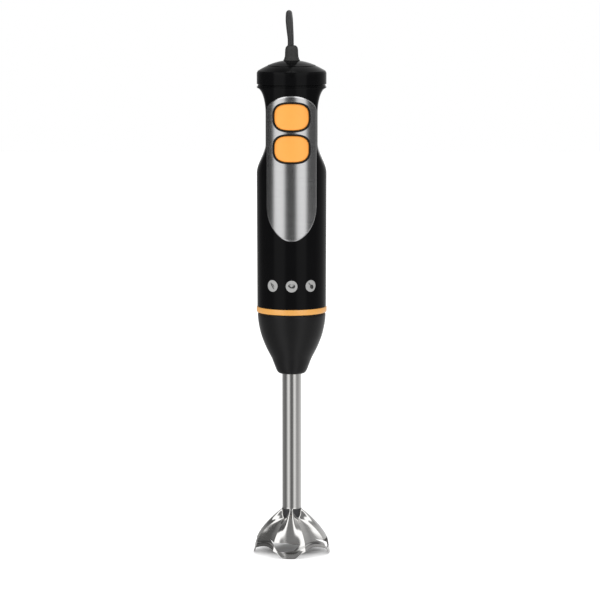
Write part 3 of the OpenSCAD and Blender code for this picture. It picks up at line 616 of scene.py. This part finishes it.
def make_plug():
    """Moulded two-blade plug: a waisted body with grip ribs and a ribbed neck."""
    lo, hi = low("plug_body"), high("plug_body")
    front = hi[1]
    back = front - 26 * MM
    half_x, half_z = hi[0], (hi[2] - lo[2]) / 2
    mid_z = (hi[2] + lo[2]) / 2
    rings = []
    rows = 36
    for j in range(rows + 1):
        t = j / rows
        y = back + (front - back) * t
        end = min(1, math.sqrt(max(1 - (1 - min(t / 0.12, 1)) ** 2, 0)) * 0.35 + 0.65)
        nose = min(1, math.sqrt(max(1 - (1 - min((1 - t) / 0.06, 1)) ** 2, 0)) * 0.12 + 0.88)
        waist = 1 - 0.1 * math.exp(-((t - 0.55) / 0.2) ** 2)
        rib = 0.35 * MM * max(0, math.sin(t * 2 * math.pi * 9)) if 0.32 < t < 0.78 else 0
        rings.append((y, half_x * end * nose * waist - rib, half_z * end * nose * waist * 0.995))
    cols = 48
    verts = []
    for y, rx, rz in rings:
        for i in range(cols):
            a = 2 * math.pi * i / cols
            x, z = squared(math.cos(a), math.sin(a), 0.5)
            verts.append((rx * x, y, mid_z + rz * z))
    faces = grid_faces(len(rings), cols, True)
    faces.append(tuple(range(cols - 1, -1, -1)))
    faces.append(tuple(range(rows * cols, (rows + 1) * cols)))
    body = add_object("plug_moulding", mesh_from("plug_moulding", verts, faces), HANDLE,
                      ("plug_body",), "plug_rubber")
    profile = [(2.4, 0)]
    for k in range(6):
        r, z = 3.2 + 0.2 * k, 1.9 * k
        profile += [(r, z + 0.2), (r, z + 1.2), (r - 0.5, z + 1.4), (r - 0.5, z + 1.8)]
    profile += [(4.3, 12), (2.4, 12)]
    mesh = revolve("plug_neck", closed(rounded(in_mm(profile), 0.3 * MM, 2)), 48)
    for v in mesh.vertices:
        x, y, z = v.co
        v.co = (x, lo[1] + z, mid_z + y)
    neck = add_object("plug_neck", mesh, HANDLE, (), "plug_rubber")
    return body, neck


def declare_cord():
    """Makes the cord with its tie and plug."""
    cord, path = make_cord()
    tie, knot = make_tie()
    body, neck = make_plug()


# ---------------------------------------------------------------- handle

PINCH_Z = Z_BODY + 105 * MM
PINCH_END = Z_BODY + 128.5 * MM
SWELL_Z = Z_BODY + 106.5 * MM
FLARE_Z = Z_BODY + 152.5 * MM
FLARE_H = 19.5 * MM
FLARE_W = 7 * MM
GRIP_HALF = 20.35 * MM
CORNER_POWER = 22


def grip_half(z):
    """Half-width of the pinched handle at height z."""
    if z < PINCH_Z:
        return BODY_R
    if z < PINCH_END:
        wave = math.cos(math.pi * (z - PINCH_Z) / (PINCH_END - PINCH_Z))
        return GRIP_HALF + (BODY_R - GRIP_HALF) * (1 + wave) / 2
    if z < FLARE_Z:
        return GRIP_HALF
    if z < FLARE_Z + FLARE_H:
        return GRIP_HALF + FLARE_W * (1 - math.sqrt(1 - ((z - FLARE_Z) / FLARE_H) ** 2))
    return BODY_R


def handle_radius(angle, z):
    """Radius at an angle from the front: round, with the sides pressed in and softly cornered."""
    t = min(max((z - Z_BODY) / (SWELL_Z - Z_BODY), 0), 1)
    r = LOW_R + (BODY_R - LOW_R) * t
    w = grip_half(z)
    if w > r - 0.02 * MM:
        return r
    side = (w ** -CORNER_POWER - r ** -CORNER_POWER) ** (-1 / CORNER_POWER)
    reach = abs(math.sin(angle)) / side
    return (reach ** CORNER_POWER + r ** -CORNER_POWER) ** (-1 / CORNER_POWER)


def handle_levels():
    """Rows along the handle: closer together where the outline bends."""
    edge = [0, 0.08, 0.2, 0.4, 0.7]
    bottom = [Z_BODY + e * MM for e in edge]
    plain = [Z_BODY + 1 * MM + i * (PINCH_Z - Z_BODY - 1 * MM) / 30 for i in range(30)]
    pinch = [PINCH_Z + i * (PINCH_END - PINCH_Z) / 24 for i in range(24)]
    straight = [PINCH_END + i * (FLARE_Z - PINCH_END) / 8 for i in range(8)]
    flare = [FLARE_Z + FLARE_H * math.sin(math.pi / 2 * i / 28) for i in range(28)]
    top = Z_DECK - 1 * MM
    lip = [top - e * MM for e in reversed([0, 0.08, 0.2, 0.4])]
    return bottom + plain + pinch + straight + [z for z in flare if z < lip[0]] + lip


def half_shell(name, turn, replaced):
    """One half of the handle as a closed thick shell, with eased edges at the seam and the ends."""
    cols = 97
    levels = handle_levels()
    ease = 0.45 * MM
    angles = [-90 + 180 * i / (cols - 1) for i in range(cols)]
    angles[1], angles[-2] = -89.2, 89.2
    angles.insert(1, -89.75)
    angles.insert(-1, 89.75)
    verts = []
    for inset in (0, WALL):
        for z in levels:
            end = max(0, 1 - min(z - levels[0], levels[-1] - z) / ease)
            for a in angles:
                seam = max(0, 1 - (90 - abs(a)) / 0.8)
                r = handle_radius(math.radians(a), z) - inset
                if not inset:
                    r -= 0.28 * MM * seam ** 2 + 0.3 * MM * end ** 2
                b = math.radians(a * 0.9997 + turn)
                verts.append((r * math.sin(b), -r * math.cos(b), z))
    mesh = mesh_from(name, verts, thick_grid(len(levels), len(angles)), 50)
    return add_object(name, mesh, HANDLE, replaced, "gloss_black")


def squared(x, z, power):
    """A point of the unit circle pushed outward to a squarer curve."""
    return math.copysign(abs(x) ** power, x), math.copysign(abs(z) ** power, z)


BUTTON_HALF = (13.4 * MM, 10.25 * MM)
BUTTON_POWER = 2 / 2.9
BUTTON_BACK = -18.6 * MM
BUTTON_Z = [(low(n)[2] + high(n)[2]) / 2 for n in ("power_button", "turbo_button")]


def button_outline(grow, count=96):
    """Rounded barrel: bowed top and bottom, and large soft corners."""
    a, b = BUTTON_HALF[0] + grow, BUTTON_HALF[1] + grow
    out = []
    for k in range(count):
        t = 2 * math.pi * k / count
        x, z = squared(math.cos(t), math.sin(t), BUTTON_POWER)
        out.append((a * x, b * z))
    return out


def cut_button_hole(piece, grow):
    """Cuts both button openings through a front piece, wider than the buttons by grow."""
    for z in BUTTON_Z:
        outline = [(x, z + dz) for x, dz in button_outline(grow)]
        subtract(piece, prism("cutter", outline, (-40 * MM, -10 * MM), straight_back))


def vent(z, azimuth):
    """A cutter for a round-ended slot in the back shell."""
    half, tall = 1.0 * MM, 4.5 * MM
    outline = [(half * math.cos(t), math.copysign(tall - half, math.sin(t)) + half * math.sin(t))
               for t in [2 * math.pi * (k + 0.5) / 20 for k in range(20)]]
    return prism("vent", outline, (10 * MM, 40 * MM), turned(math.radians(azimuth), z))


SCREWS = [(side * x * MM, Z_BODY + z * MM) for x, z in ((20.2, 23.9), (20.2, 103.5), (13, 168.4))
          for side in (-1, 1)]
SCREW_SEAT = 8 * MM
WELL_R = 3.1 * MM
WELL_WALL = [(3.05, 0), (3.05, 20), (3.6, 20), (3.6, 0)]


def make_well(name, x, z):
    """The tube that a rear screw sits in, ending just under the curved shell."""
    mesh = revolve("screw_well", closed(in_mm(WELL_WALL)), 40)
    for v in mesh.vertices:
        px, py, pz = v.co
        reach = handle_radius(math.pi - math.asin((x + px) / BODY_R), z + py)
        skin = math.sqrt(max(reach ** 2 - (x + px) ** 2, 0)) - 0.6 * MM
        v.co = (x + px, min(SCREW_SEAT + pz, skin), z + py)
    add_object(name, mesh, HANDLE, (), "gloss_black")


def make_shells():
    """Both halves of the handle with their openings, the screw wells and the deck under the dial."""
    front = half_shell("front_shell", 0, ("front_housing",))
    cut_button_hole(front, 0.35 * MM)
    soften(front.data, 40)
    dress(front, "gloss_black")
    back = half_shell("back_shell", 180, ("rear_housing",))
    for z in (Z_BODY + 37.5 * MM, Z_BODY + 100.5 * MM):
        for azimuth in range(-40, 41, 10):
            subtract(back, vent(z, azimuth))
    for x, z in SCREWS:
        turns = [2 * math.pi * k / 32 for k in range(32)]
        ring = [(x + WELL_R * math.cos(t), z + WELL_R * math.sin(t)) for t in turns]
        subtract(back, prism("well", ring, (9 * MM, 40 * MM), straight_back))
    soften(back.data, 40)
    dress(back, "gloss_black")
    for k, (x, z) in enumerate(SCREWS):
        make_well(f"screw_well_{k + 1}", x, z)
    deck = in_mm([(9, -2), (26.0, -2), (26.7, -1.2), (26.7, 0), (26.3, 0), (26.3, 0.75), (25, 0.75),
                  (25, 0), (9, 0)], Z_DECK)
    add_object("handle_deck", revolve("handle_deck", closed(rounded(deck, 0.15 * MM, 3))), HANDLE, (),
               "gloss_black")


# ---------------------------------------------------------------- panel, surrounds, buttons and icons

PANEL_HALF = 19.35 * MM
PANEL_TOP_H = 12 * MM
PANEL_BOTTOM_H = 27 * MM


def make_panel():
    """Curved steel plate with elliptical ends and a rounded edge."""
    z_low, z_high = low("steel_panel")[2], high("steel_panel")[2]
    cols, rows = 72, 60
    outer = BODY_R + 0.3 * MM
    steps = ([0, 0.004, 0.012, 0.03] + [0.05 + 0.9 * j / rows for j in range(rows + 1)]
             + [0.97, 0.988, 0.996, 1])
    across = [math.sin(math.pi / 2 * (-1 + 2 * i / cols)) for i in range(cols + 1)]
    verts = []
    for depth in (0, 0.9 * MM):
        for t in steps:
            for u in across:
                x = PANEL_HALF * u
                bow = math.sqrt(max(1 - u * u, 0))
                top = z_high - PANEL_TOP_H * (1 - bow)
                bottom = z_low + PANEL_BOTTOM_H * (1 - bow)
                z = bottom + (top - bottom) * t
                edge = min(z - bottom, top - z, (1 - abs(u)) * PANEL_HALF)
                ease = max(0, 1 - edge / (0.35 * MM))
                r = outer - depth - (0.22 * MM * ease ** 2 if not depth else 0)
                verts.append((x, -math.sqrt(r * r - x * x), z))
    panel = add_object("front_panel", mesh_from("front_panel", verts, thick_grid(len(steps), cols + 1), 50),
                       HANDLE, ("steel_panel",), "brushed_steel")
    cut_button_hole(panel, 1.35 * MM)
    soften(panel.data, 50)
    dress(panel, "brushed_steel")


def on_handle(x, z, proud):
    """A point over the handle's front, at a height above its plain round surface."""
    r = BODY_R + proud
    return (x, -math.sqrt(max(r * r - x * x, 0)), z)


def make_surrounds():
    """Soft black rims round the button openings."""
    for name, z in zip(("lower_surround", "upper_surround"), BUTTON_Z):
        section = [(0.35, -0.9), (0.35, 0.35), (0.5, 0.55), (0.85, 0.66), (1.25, 0.58), (1.5, 0.4),
                   (1.5, -0.9)]
        verts = []
        for grow, proud in section:
            for x, dz in button_outline(grow * MM):
                verts.append(on_handle(x, z + dz, proud * MM))
        n = len(verts) // len(section)
        last = (len(section) - 1) * n
        faces = grid_faces(len(section), n, True)
        faces += [(i, last + i, last + (i + 1) % n, (i + 1) % n) for i in range(n)]
        add_object(name, mesh_from(name, verts, faces, 60), HANDLE,
                   ("button_gasket",) if name == "lower_surround" else (), "black_trim")


def make_button(name, z, node, body):
    """Crowned key that follows the handle's curve, with a soft edge and a straight skirt."""
    rings = [0.0, 0.15, 0.3, 0.45, 0.6, 0.72, 0.82, 0.89, 0.94, 0.97, 0.99, 1.0]
    outline = button_outline(0)
    verts = []
    for s in rings[1:]:
        crown = 0.95 * MM - 0.3 * MM * s ** 2 - 1.0 * MM * max(0, (s - 0.82) / 0.18) ** 2.4
        dish = 0.22 * MM * math.exp(-(s / 0.55) ** 2)
        for x, dz in outline:
            verts.append(on_handle(x * s, z + dz * s, crown - dish))
    skirt = (1.5 * MM, 3.0 * MM, BODY_R)
    for depth in skirt:
        for x, dz in outline:
            verts.append((x, min(on_handle(x, 0, 0)[1] + depth, BUTTON_BACK), z + dz))
    n = len(outline)
    rows = len(rings) - 1 + len(skirt)
    faces = grid_faces(rows, n, True)
    verts.append(on_handle(0, z, 0.95 * MM - 0.22 * MM))
    centre = len(verts) - 1
    faces += [(centre, i, (i + 1) % n) for i in range(n)]
    faces.append(tuple((rows - 1) * n + i for i in range(n)))
    add_object(name, mesh_from(name, verts, faces, 60), body, (node,), "orange_button")


def make_springs():
    """The coil springs behind the keys."""
    for node, joint in (("power_spring", "power_press"), ("turbo_spring", "turbo_press")):
        coil = add_object(f"{node}_coil", frame["nodes"][node].data.copy(), HANDLE, (node,),
                          "bright_steel")
        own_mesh(coil)


def blob(points, steps=6):
    """A smooth closed outline through a few points."""
    n = len(points)
    out = []
    for i in range(n):
        p0, p1, p2, p3 = (Vector(points[(i + k - 1) % n]) for k in range(4))
        out += [tuple(catmull(p0, p1, p2, p3, k / steps)) for k in range(steps)]
    return out


ICON_R = 4.65 * MM
ICON_STEP = 33.5
STICK = [[(-1.7, 2.2), (-1.1, 2.5), (0.2, 0.2), (1.7, -2.2), (1.3, -2.5), (-0.5, -0.4)],
         [(-0.2, 1.5), (0.3, 1.6), (1.6, -0.3), (1.3, -0.6)]]
STEAK = [[(-2.7, 0.4), (-1.6, 1.7), (0.2, 1.3), (1.6, 1.6), (2.8, 0.4), (2.2, -1.2), (0.6, -1.5),
          (-1.2, -1.1)]]
WHISK = [[(-2.2, 2.3), (-1.8, 2.6), (0.1, 0.7), (-0.3, 0.3)],
         [(-0.4, 0.6), (1.4, 0.9), (2.4, -0.6), (2.1, -2.1), (0.5, -2.3), (-0.7, -1.1)]]


def make_icons():
    """Three pale discs with plain food and tool symbols."""
    z0 = (low("icon_discs")[2] + high("icon_discs")[2]) / 2
    radius = LOW_R + 0.05 * MM
    names = ("icon_left", "icon_middle", "icon_right")
    for k, (name, symbol) in enumerate(zip(names, (STICK, STEAK, WHISK))):
        turn = math.radians((k - 1) * ICON_STEP)

        def on_body(x, z, proud):
            a = x / radius + turn
            r = radius + proud
            return (r * math.sin(a), -r * math.cos(a), z0 + z)

        rings = [(1.0, -0.5), (0.985, 0.04), (0.95, 0.09), (0.85, 0.1), (0.6, 0.1), (0.3, 0.1)]
        n = 64
        verts = []
        for s, h in rings:
            for i in range(n):
                t = 2 * math.pi * i / n
                verts.append(on_body(ICON_R * s * math.cos(t), ICON_R * s * math.sin(t), h * MM))
        verts.append(on_body(0, 0, 0.1 * MM))
        verts.append(on_body(0, 0, -0.5 * MM))
        inner = (len(rings) - 1) * n
        faces = grid_faces(len(rings), n, True)
        faces += [(inner + i, inner + (i + 1) % n, len(verts) - 2) for i in range(n)]
        faces += [((i + 1) % n, i, len(verts) - 1) for i in range(n)]
        add_object(name, mesh_from(name, verts, faces), HANDLE, ("icon_discs",) if k == 0 else (),
                   "icon_grey")
        for m, shape in enumerate(symbol):
            mark = prism(f"{name}_mark_{m + 1}", blob(in_mm(shape)), (0.05 * MM, 0.14 * MM), on_body)
            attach(mark, HANDLE)
            dress(mark, "icon_dark")


# ---------------------------------------------------------------- head, collar, tube

def dome(r):
    """Height of the head's shallow dome at a radius."""
    return Z_APEX - 0.0115 * (r / MM) ** 2 * MM


BOOT = [(2.35, -17), (6, -17), (6, -12.2), (6.4, -12.0), (6.5, -11.4), (5.9, -10.9), (5.75, -9.8),
        (5.4, -9.2), (5.3, -8.0), (5.2, -6.4), (5.12, -4.6), (5.0, -3.2), (4.75, -2.0), (4.2, -1.0),
        (3.4, -0.35), (2.9, -0.05), (2.35, -0.1)]


def make_head():
    """Dial ring with its pointer, the fixed cap inside it and the rubber strain relief."""
    outer = BODY_R - 0.1 * MM
    rim = outer - 0.8 * MM
    inner = CAP_R + 0.35 * MM
    crown = [(rim + (inner - rim) * i / 12, dome(rim + (inner - rim) * i / 12)) for i in range(13)]
    base = Z_DECK + 0.9 * MM
    side = [(24.8 * MM, base)] + [(outer + r, z) for r, z in in_mm(
        [(-0.35, 0), (0, 0.35), (0, 8.6), (-0.1, 9.1), (-0.35, 9.6)], base)]
    bore = [(inner, Z_DECK + 13.9 * MM)] + in_mm([(17, 13.9), (17, 11), (24.8, 8.4)], Z_DECK)
    ring = add_object("dial_ring", revolve("dial_ring", closed(side + crown + bore), 160, 30), DIAL,
                      ("speed_dial",), "gloss_black")
    arrow = in_mm([(-1.7, 1.5), (1.7, 1.5), (0, -1.4)], Z_DECK + 8.4 * MM)
    subtract(ring, prism("arrow", arrow, (-40 * MM, -(outer - 0.35 * MM)), straight_back))
    soften(ring.data, 30)
    dress(ring, "gloss_black")
    top = [(6.2 * MM, Z_DECK + 12 * MM), (CAP_R - 0.5 * MM, Z_DECK + 12 * MM), (CAP_R, Z_DECK + 12.5 * MM),
           (CAP_R, dome(CAP_R) + 0.12 * MM), (CAP_R - 0.25 * MM, dome(CAP_R) + 0.42 * MM)]
    across = [CAP_R - 0.8 * MM - (CAP_R - 8 * MM) * i / 10 for i in range(11)]
    top += [(r, dome(r) + 0.25 * MM) for r in across]
    top += [(6.2 * MM, dome(6 * MM))]
    add_object("head_cap", revolve("head_cap", closed(top), 160, 30), HANDLE, ("top_cap",), "gloss_black")
    mesh = revolve("cord_boot", closed(in_mm(BOOT, Z_EXIT)), 96, 40)
    mouth = 3.2 * MM
    for v in mesh.vertices:
        r = math.hypot(v.co.x, v.co.y)
        if r < mouth:
            v.co.x += EXIT.x * (mouth - r) / (0.85 * MM)
    add_object("cord_boot", mesh, HANDLE, ("strain_relief",), "relief_rubber")


COLLAR = [(7.7, 0.5), (9.2, 0), (10.6, 0.6), (12, 2.6), (14, 7.6), (15.8, 12.2), (18.3, 17), (20.6, 21.7),
          (23.4, 28.8), (24.8, 33.6), (25.8, 38.3), (26.5, 43), (26.75, 46.8)]


def make_foot():
    """Accent ring, tapered collar and drawn steel tube."""
    curve = smooth_path([(r * MM, 0, Z_COLLAR + h * MM) for r, h in COLLAR], 6)
    profile = [(p.x, p.z) for p in curve]
    profile += in_mm([(26.6, -0.3), (26.2, 0), (24, 0), (24, -4), (20, -20), (12, -33), (7.7, -36)],
                     Z_COLLAR_TOP)
    add_object("collar_shell", revolve("collar_shell", closed(profile), 160, 40), FOOT,
               ("foot_collar",), "satin_black")
    seat = in_mm([(10, -0.6), (25.6, -0.6), (25.6, 0.35), (10, 0.35)], Z_COLLAR_TOP)
    add_object("collar_seat", revolve("collar_seat", closed(rounded(seat, 0.15 * MM, 2)), 128), FOOT,
               (), "inner_plastic")
    ring = [(24.9 * MM, Z_ACCENT), (BODY_R + 0.05 * MM, Z_ACCENT),
            (BODY_R + 0.25 * MM, Z_ACCENT + 1.2 * MM), (BODY_R + 0.25 * MM, Z_BODY - 1.2 * MM),
            (BODY_R + 0.05 * MM, Z_BODY - 0.05 * MM), (24.9 * MM, Z_BODY - 0.05 * MM)]
    add_object("accent_band", revolve("accent_band", closed(rounded(ring, 0.6 * MM, 5)), 160), HANDLE,
               ("accent_ring",), "orange_ring")
    z_top = high("shaft_tube")[2]
    levels = [Z_TUBE + (z_top - Z_TUBE) * i / 40 for i in range(41)]
    wall = [(TUBE_R, z) for z in levels] + [(TUBE_R - 0.8 * MM, z) for z in reversed(levels)]
    add_object("steel_stem", revolve("steel_stem", closed(wall), 128), FOOT, ("shaft_tube",),
               "polished_steel")


# ---------------------------------------------------------------- bell

SHOULDER = (8.8 * MM, BELL_H - 2 * MM)
PULL_OUT = (20.8 * MM, BELL_H - 11.6 * MM)
PULL_DOWN = (BELL_R - 1.3 * MM, 13.5 * MM)
SIDE = (BELL_R - 1.3 * MM, 5.5 * MM)
ARCH_H = 7.5 * MM
LOBE_TURN = -4
LOBE_HALF = 25
FOOT_HALF = 6
VALLEY_DEPTH = 0.13
SIDE_END, SHOULDER_START = 0.15, 0.93    # shares of the outline where its parts meet


def bell_outline(t):
    """Radius and height along the bell, from the rim at 0 to the tube at 1."""
    if t < SIDE_END:
        u = t / SIDE_END
        return BELL_R + (SIDE[0] - BELL_R) * (2 * u - u * u), SIDE[1] * u
    if t < SHOULDER_START:
        u = (t - SIDE_END) / (SHOULDER_START - SIDE_END)
        weights = ((1 - u) ** 3, 3 * u * (1 - u) ** 2, 3 * u * u * (1 - u), u ** 3)
        points = (SIDE, PULL_DOWN, PULL_OUT, SHOULDER)
        return tuple(sum(w * p[k] for w, p in zip(weights, points)) for k in (0, 1))
    u = (t - SHOULDER_START) / (1 - SHOULDER_START)
    return (SHOULDER[0] + (TUBE_R - SHOULDER[0]) * (2 * u - u * u),
            SHOULDER[1] + (BELL_H - SHOULDER[1]) * u)


def between_lobes(offset, half, ease=0):
    """0 within half degrees of a lobe's middle, rising to 1 halfway to the next lobe."""
    m = abs((offset + 45) % 90 - 45)
    if m < half:
        return 0
    u = (m - half) / (45 - half)
    soft = min(u / ease, 1) if ease else 1
    return soft * soft * (3 - 2 * soft) * (1 - (1 - u) ** 2)


def bell_vertex(offset, t, inset):
    """A point of the bell at an angle from the first lobe and a share of the outline."""
    arch = ARCH_H * between_lobes(offset, FOOT_HALF, 0.3)
    r, z = bell_outline(t)
    r = r * (1 - VALLEY_DEPTH * between_lobes(offset, LOBE_HALF) * min(1, 2.2 * (1 - t))) - inset
    z = z * (1 - arch / BELL_H) + arch * (1 - t)
    z = max(z, 0) - (0 if t == 1 else inset * t)
    a = math.radians(offset + LOBE_TURN)
    return (r * math.sin(a), -r * math.cos(a), z)


WINDOW = [(-15.5, 13.4), (-12.6, 12.3), (-9, 12.1), (-4, 12.1), (2, 12), (6, 11.9), (8.2, 11.2), (7, 9.2),
          (3.4, 6.2), (-1, 5.3), (-6, 5.2), (-9.6, 5.8), (-10.8, 7.2), (-12, 9.4), (-14, 11.6)]


def on_crease(p):
    """Whether a point lies on one of the folds between a lobe and a valley."""
    offset = math.degrees(math.atan2(p.x, -p.y)) - LOBE_TURN
    return abs(abs((offset + 45) % 90 - 45) - LOBE_HALF) < 0.1 and p.z < 0.9 * BELL_H


def make_bell():
    """Pressed four-lobed bell with arches, creased valleys and a swept window in each lobe."""
    offsets = []
    for lobe in range(4):
        start, end = lobe * 90 - LOBE_HALF, lobe * 90 + LOBE_HALF
        offsets += [start + 2 * LOBE_HALF * i / 20 for i in range(20)]
        offsets += [end + (90 - 2 * LOBE_HALF) * i / 16 for i in range(16)]
    rows, n = 56, len(offsets)
    verts = []
    for inset in (0, 0.9 * MM):
        for j in range(rows + 1):
            t = j / rows
            reduce = min(inset, 0.8 * MM + inset * (1 - t))
            round_rim = (-0.2 * MM if inset else 0.25 * MM) * max(0, 1 - t / 0.02)
            for a in offsets:
                verts.append(bell_vertex(a, t, reduce + round_rim))
    half = (rows + 1) * n
    faces = grid_faces(rows + 1, n, True) + grid_faces(rows + 1, n, True, half)
    for i in range(n):
        m = (i + 1) % n
        faces.append((i, half + i, half + m, m))
        k = rows * n
        faces.append((k + i, k + m, half + k + m, half + k + i))
    bell = add_object("steel_bell", mesh_from("steel_bell", verts, faces, 40), FOOT, ("bell_guard",),
                      "polished_steel")
    outline = blob(in_mm(WINDOW), 4)
    for lobe in range(4):
        place = turned(math.radians(LOBE_TURN + lobe * 90))
        subtract(bell, prism("window", outline, (-40 * MM, -18 * MM), place))
    soften(bell.data, 40)
    for edge in bell.data.edges:
        ends = [bell.data.vertices[i].co for i in edge.vertices]
        edge.use_edge_sharp = edge.use_edge_sharp or all(on_crease(p) for p in ends)
    dress(bell, "polished_steel")
    # Painted shade: faces turned inward take the much darker raw_steel finish, so the hollow of the bell
    # reads dark.
    bell.data.materials.append(FINISH["raw_steel"])
    for face in bell.data.polygons:
        if face.normal.x * face.center.x + face.normal.y * face.center.y < 0:
            face.material_index = 1
    weld = [(TUBE_R + r, z) for r, z in in_mm(
        [(-0.1, -0.5), (0.12, -0.3), (0.16, 0), (0.12, 0.3), (-0.1, 0.5)], BELL_H)]
    add_object("bell_seam", revolve("bell_seam", closed(weld), 96, 80), FOOT, (), "polished_steel")


# ---------------------------------------------------------------- assembly

set_stage()
dress_frame()
declare_cord()
make_shells()
make_panel()
make_surrounds()
make_button("power_key", BUTTON_Z[0], "power_button", "lower_button")
make_button("turbo_key", BUTTON_Z[1], "turbo_button", "upper_button")
make_springs()
make_icons()
make_head()
make_foot()
make_bell()
